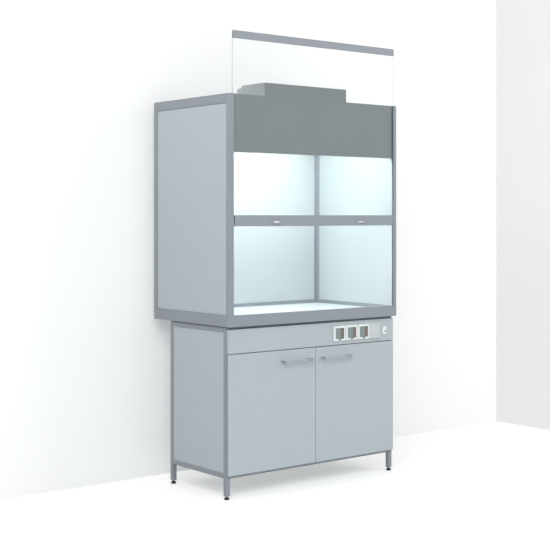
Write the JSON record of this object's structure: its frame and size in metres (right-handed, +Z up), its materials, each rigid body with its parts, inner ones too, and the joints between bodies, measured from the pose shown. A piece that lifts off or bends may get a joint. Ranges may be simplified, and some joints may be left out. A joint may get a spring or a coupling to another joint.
{
  "type": "fume hood",
  "caption": "Floor-standing laboratory fume hood with a glazed counterbalanced sash, a lit chamber, a row of mains sockets and a two-door cupboard on a tube frame.",
  "frame": {"origin": "on the floor, under the middle of the whole object's bounding box", "axes": "+X to the right of a person who faces the sash, +Y to the back, +Z up"},
  "size_m": [1.2, 0.7174, 2.414],
  "materials": {
    "frame_paint": "satin powder coat, mid grey",
    "base_paint": "satin powder coat, mid grey",
    "sheet_paint": "satin powder coat, light grey",
    "rear_sheet": "satin powder coat, light grey",
    "board": "light grey melamine-faced board, matt",
    "liner": "white resin laminate, satin",
    "worktop": "white solid resin, satin",
    "glass": "clear toughened float glass",
    "sash_rail": "satin powder coat, mid grey",
    "chrome": "polished chrome",
    "handle": "satin brushed",
    "foot": "black, matt",
    "pad": "black, matt",
    "white_plastic": "white, slight gloss",
    "lid": "smoked, see-through",
    "cover": "light grey, slight gloss",
    "lever": "black, matt",
    "lens": "green, see-through",
    "steel": "zinc-plated",
    "bearing": "natural, matt",
    "belt": "black, matt",
    "tube": "opal white",
    "spigot": "satin powder coat, light grey"
  },
  "bodies": {
    "frame": {"post_front_left": "frame_paint", "post_front_right": "frame_paint", "post_rear_left": "frame_paint", "post_rear_right": "frame_paint", "sill_rail": "frame_paint", "hood_lower_rails": "frame_paint", "hood_upper_rails": "frame_paint", "base_legs": "base_paint", "base_upper_rails": "base_paint", "base_bottom_rails": "base_paint", "fascia": "sheet_paint", "roof_panel": "sheet_paint", "lamp_housing": "sheet_paint", "rear_cover": "rear_sheet", "base_side_panels": "board", "base_back_panel": "board", "base_floor": "board", "service_panel": "board", "side_panel_left": "board", "side_panel_right": "board", "side_liners": "liner", "back_liner": "liner", "worktop": "worktop", "lamp_window": "glass", "hood_pads": "pad", "socket_1": "white_plastic", "socket_2": "white_plastic", "socket_3": "white_plastic", "breaker_body": "white_plastic", "switch_body": "white_plastic", "switch_lens": "lens", "door_pivots": "steel", "idler_axles": "steel", "bearing_blocks": "bearing", "sash_belts": "belt", "lamp_tubes": "tube", "exhaust_spigot": "spigot"},
    "sash": {"sash_glass": "glass", "sash_lower_rail": "sash_rail", "sash_top_rail": "sash_rail", "sash_pulls": "chrome"},
    "weight": {"counterweight": "steel"},
    "shaft": {"sync_shaft": "steel"},
    "idler_pair_front_low": {"idlers_front_low": "bearing"},
    "idler_pair_rear_low": {"idlers_rear_low": "bearing"},
    "idler_pair_rear_high": {"idlers_rear_high": "bearing"},
    "left_door": {"door_left": "board", "handle_left": "handle"},
    "right_door": {"door_right": "board", "handle_right": "handle"},
    "lid_1": {"socket_lid_1": "lid"},
    "lid_2": {"socket_lid_2": "lid"},
    "lid_3": {"socket_lid_3": "lid"},
    "breaker_lid": {"breaker_cover": "cover"},
    "lever": {"breaker_lever": "lever"},
    "rocker": {"switch_rocker": "white_plastic"},
    "foot_fl": {"foot_front_left": "foot"},
    "foot_fr": {"foot_front_right": "foot"},
    "foot_rl": {"foot_rear_left": "foot"},
    "foot_rr": {"foot_rear_right": "foot"}
  },
  "joints": [
    {"name": "sash_slide", "type": "slide", "parent": "frame", "child": "sash", "axis": [0, 0, 1], "range_m": [-0.456, 0.32]},
    {"name": "counterweight_slide", "type": "slide", "parent": "frame", "child": "weight", "axis": [0, 0, 1], "range_m": [-0.322, 0.458]},
    {"name": "shaft_turn", "type": "hinge", "parent": "frame", "child": "shaft", "pos_m": [0, -0.31795, 2.064], "axis": [1, 0, 0], "range_deg": [-1080, 1530]},
    {"name": "idlers_front_low_turn", "type": "hinge", "parent": "frame", "child": "idler_pair_front_low", "pos_m": [0, -0.31795, 0.916], "axis": [1, 0, 0], "range_deg": [-1080, 1530]},
    {"name": "idlers_rear_low_turn", "type": "hinge", "parent": "frame", "child": "idler_pair_rear_low", "pos_m": [0, 0.33045, 0.916], "axis": [1, 0, 0], "range_deg": [-1080, 1530]},
    {"name": "idlers_rear_high_turn", "type": "hinge", "parent": "frame", "child": "idler_pair_rear_high", "pos_m": [0, 0.33045, 2.064], "axis": [1, 0, 0], "range_deg": [-1080, 1530]},
    {"name": "left_door_hinge", "type": "hinge", "parent": "frame", "child": "left_door", "pos_m": [-0.581, -0.30975, 0.435], "axis": [0, 0, -1], "range_deg": [0, 95]},
    {"name": "right_door_hinge", "type": "hinge", "parent": "frame", "child": "right_door", "pos_m": [0.581, -0.30975, 0.435], "axis": [0, 0, 1], "range_deg": [0, 95]},
    {"name": "lid_1_hinge", "type": "hinge", "parent": "frame", "child": "lid_1", "pos_m": [0.1695, -0.32775, 0.8412], "axis": [-1, 0, 0], "range_deg": [0, 90], "stiffness_Nm_per_rad": 0.02, "springref_deg": -11.46},
    {"name": "lid_2_hinge", "type": "hinge", "parent": "frame", "child": "lid_2", "pos_m": [0.2595, -0.32775, 0.8412], "axis": [-1, 0, 0], "range_deg": [0, 90], "stiffness_Nm_per_rad": 0.02, "springref_deg": -11.46},
    {"name": "lid_3_hinge", "type": "hinge", "parent": "frame", "child": "lid_3", "pos_m": [0.3495, -0.32775, 0.8412], "axis": [-1, 0, 0], "range_deg": [0, 90], "stiffness_Nm_per_rad": 0.02, "springref_deg": -11.46},
    {"name": "breaker_cover_hinge", "type": "hinge", "parent": "frame", "child": "breaker_lid", "pos_m": [0.437, -0.33075, 0.8508], "axis": [-1, 0, 0], "range_deg": [0, 90]},
    {"name": "breaker_lever_turn", "type": "hinge", "parent": "frame", "child": "lever", "pos_m": [0.437, -0.31825, 0.813], "axis": [1, 0, 0], "range_deg": [0, 50]},
    {"name": "switch_rocker_turn", "type": "hinge", "parent": "frame", "child": "rocker", "pos_m": [0.514, -0.32725, 0.824], "axis": [-1, 0, 0], "range_deg": [0, 14]},
    {"name": "foot_fl_screw", "type": "hinge", "parent": "frame", "child": "foot_fl", "pos_m": [-0.5775, -0.29175, 0.009], "axis": [0, 0, 1], "continuous": true},
    {"name": "foot_fr_screw", "type": "hinge", "parent": "frame", "child": "foot_fr", "pos_m": [0.5775, -0.29175, 0.009], "axis": [0, 0, 1], "continuous": true},
    {"name": "foot_rl_screw", "type": "hinge", "parent": "frame", "child": "foot_rl", "pos_m": [-0.5775, 0.19725, 0.009], "axis": [0, 0, 1], "continuous": true},
    {"name": "foot_rr_screw", "type": "hinge", "parent": "frame", "child": "foot_rr", "pos_m": [0.5775, 0.19725, 0.009], "axis": [0, 0, 1], "continuous": true}
  ],
  "couplings": [
    {"joint": "counterweight_slide", "follows": "sash_slide", "ratio": -1},
    {"joint": "shaft_turn", "follows": "sash_slide", "rad_per_m": -57.803},
    {"joint": "idlers_front_low_turn", "follows": "sash_slide", "rad_per_m": -57.803},
    {"joint": "idlers_rear_low_turn", "follows": "sash_slide", "rad_per_m": -57.803},
    {"joint": "idlers_rear_high_turn", "follows": "sash_slide", "rad_per_m": -57.803}
  ]
}
